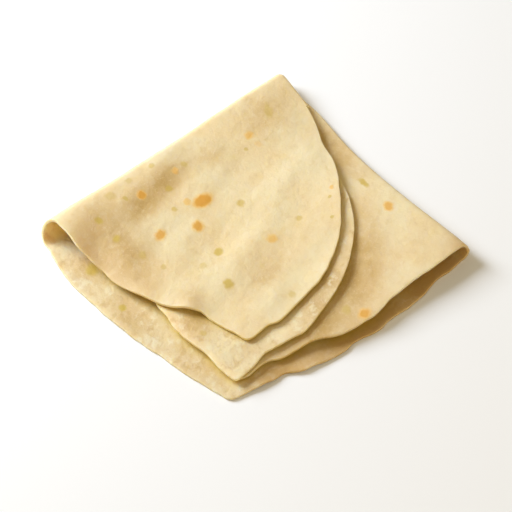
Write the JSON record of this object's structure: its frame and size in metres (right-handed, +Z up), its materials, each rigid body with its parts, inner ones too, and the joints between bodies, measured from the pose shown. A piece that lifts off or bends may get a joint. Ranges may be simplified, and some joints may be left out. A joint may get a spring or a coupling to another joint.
{
  "type": "folded roti",
  "caption": "Soft, thin flatbread folded like a handkerchief into a loose square with open fold ends, lying flat on its lowest layer.",
  "frame": {"origin": "middle of the bounding box at the level the bread rests on", "axes": "+Z up out of the flat underside; -Y towards the free tips of the layers; +X towards the right fold's open end"},
  "size_m": [0.24, 0.2524, 0.0169],
  "materials": {
    "baked_dough": null
  },
  "bodies": {
    "root": {"roti": "baked_dough"}
  },
  "joints": []
}
